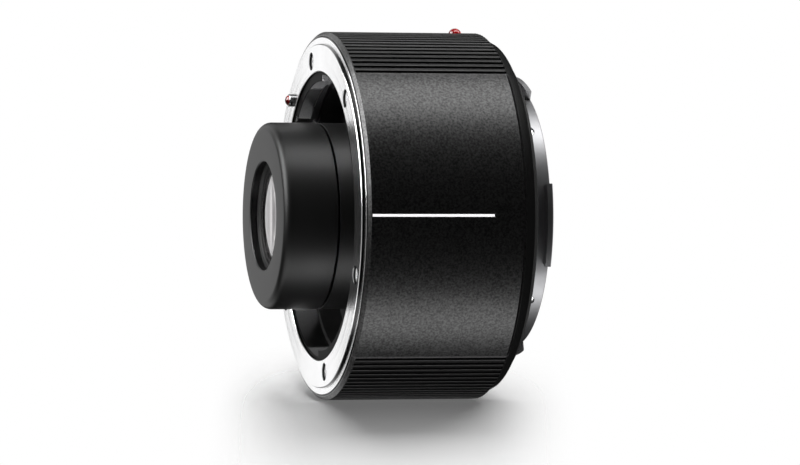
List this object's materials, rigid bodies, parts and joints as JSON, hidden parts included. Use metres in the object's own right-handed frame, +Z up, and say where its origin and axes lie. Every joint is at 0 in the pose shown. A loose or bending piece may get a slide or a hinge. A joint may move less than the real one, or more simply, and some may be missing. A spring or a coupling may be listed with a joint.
{
  "type": "camera teleconverter",
  "caption": "Camera teleconverter: short round barrel with ribbed grips, female bayonet and protruding lens nose in front, male bayonet behind, sprung lock pin and contacts.",
  "frame": {"origin": "centre of the rear flange seat, on the optical axis", "axes": "+X along the optical axis from the lens side to the camera side, +Z up, index line on the -Y side"},
  "size_m": [0.0502, 0.071, 0.0719],
  "materials": {
    "barrel_black": "fine sandpaper texture",
    "index_red": "gloss",
    "cover_black": "satin",
    "frame_metal": "black anodised",
    "front_silver": "satin chrome",
    "rear_silver": "polished chrome",
    "screw_steel": "plain",
    "screw_black": "blackened",
    "claw_black": "satin black",
    "spring_steel": "plain",
    "knob_plastic": "satin",
    "nose_grey": "satin anodised",
    "tube_black": "matt",
    "glass": "coated",
    "shim_brass": "plain",
    "seal_rubber": "matt",
    "baffle_plastic": "matt",
    "contact_plastic": "satin",
    "contact_gold": "gold plated",
    "board_green": "solder mask",
    "chip_black": "moulded",
    "flex_film": "polyimide film"
  },
  "bodies": {
    "converter": {"outer_barrel": "barrel_black", "index_dome": "index_red", "rear_cover_ring": "cover_black", "front_housing": "frame_metal", "body_frame": "frame_metal", "housing_screws": "screw_black", "front_mount_ring": "front_silver", "front_mount_screws": "screw_steel", "bayonet_claw_ring": "claw_black", "claw_leaf_springs": "spring_steel", "stop_pin": "spring_steel", "release_spring": "spring_steel", "nose_cap": "nose_grey", "lens_tube": "tube_black", "tube_lock_ring": "tube_black", "tube_screws": "screw_black", "front_retainer": "tube_black", "front_element": "glass", "front_spacer": "tube_black", "second_group_front": "glass", "second_group_rear": "glass", "third_group_front": "glass", "third_group_middle": "glass", "third_group_rear": "glass", "rear_spacer": "tube_black", "rear_group_front": "glass", "rear_element": "glass", "rear_retainer": "tube_black", "rear_mount": "rear_silver", "rear_mount_screws": "screw_steel", "mount_shim": "shim_brass", "mount_seal": "seal_rubber", "rear_baffle": "baffle_plastic", "baffle_screws": "screw_steel", "rear_contact_block": "contact_plastic", "rear_contact_pads": "contact_gold", "front_contact_block": "contact_plastic", "contact_block_screws": "screw_black", "contact_sleeves": "contact_gold", "circuit_board": "board_green", "board_chips": "chip_black", "board_screws": "screw_black", "flex_cable": "flex_film"},
    "release": {"lock_pin": "claw_black", "lock_pin_tip": "index_red", "release_plate": "spring_steel", "release_knob": "knob_plastic", "release_knob_screw": "screw_black"},
    "plunger_1": {"contact_plunger_1": "contact_gold"},
    "plunger_2": {"contact_plunger_2": "contact_gold"},
    "plunger_3": {"contact_plunger_3": "contact_gold"},
    "plunger_4": {"contact_plunger_4": "contact_gold"},
    "plunger_5": {"contact_plunger_5": "contact_gold"},
    "plunger_6": {"contact_plunger_6": "contact_gold"},
    "plunger_7": {"contact_plunger_7": "contact_gold"},
    "plunger_8": {"contact_plunger_8": "contact_gold"},
    "plunger_9": {"contact_plunger_9": "contact_gold"},
    "plunger_10": {"contact_plunger_10": "contact_gold"}
  },
  "joints": [
    {"name": "release_slide", "type": "slide", "parent": "converter", "child": "release", "axis": [1, 0, 0], "range_m": [0, 0.0016], "stiffness_N_per_m": 300, "springref_m": -0.0015, "deforming": ["release_spring"]},
    {"name": "contact_1_press", "type": "slide", "parent": "converter", "child": "plunger_1", "axis": [1, 0, 0], "range_m": [0, 0.0006], "stiffness_N_per_m": 400, "springref_m": -0.0005},
    {"name": "contact_2_press", "type": "slide", "parent": "converter", "child": "plunger_2", "axis": [1, 0, 0], "range_m": [0, 0.0006], "stiffness_N_per_m": 400, "springref_m": -0.0005},
    {"name": "contact_3_press", "type": "slide", "parent": "converter", "child": "plunger_3", "axis": [1, 0, 0], "range_m": [0, 0.0006], "stiffness_N_per_m": 400, "springref_m": -0.0005},
    {"name": "contact_4_press", "type": "slide", "parent": "converter", "child": "plunger_4", "axis": [1, 0, 0], "range_m": [0, 0.0006], "stiffness_N_per_m": 400, "springref_m": -0.0005},
    {"name": "contact_5_press", "type": "slide", "parent": "converter", "child": "plunger_5", "axis": [1, 0, 0], "range_m": [0, 0.0006], "stiffness_N_per_m": 400, "springref_m": -0.0005},
    {"name": "contact_6_press", "type": "slide", "parent": "converter", "child": "plunger_6", "axis": [1, 0, 0], "range_m": [0, 0.0006], "stiffness_N_per_m": 400, "springref_m": -0.0005},
    {"name": "contact_7_press", "type": "slide", "parent": "converter", "child": "plunger_7", "axis": [1, 0, 0], "range_m": [0, 0.0006], "stiffness_N_per_m": 400, "springref_m": -0.0005},
    {"name": "contact_8_press", "type": "slide", "parent": "converter", "child": "plunger_8", "axis": [1, 0, 0], "range_m": [0, 0.0006], "stiffness_N_per_m": 400, "springref_m": -0.0005},
    {"name": "contact_9_press", "type": "slide", "parent": "converter", "child": "plunger_9", "axis": [1, 0, 0], "range_m": [0, 0.0006], "stiffness_N_per_m": 400, "springref_m": -0.0005},
    {"name": "contact_10_press", "type": "slide", "parent": "converter", "child": "plunger_10", "axis": [1, 0, 0], "range_m": [0, 0.0006], "stiffness_N_per_m": 400, "springref_m": -0.0005}
  ]
}
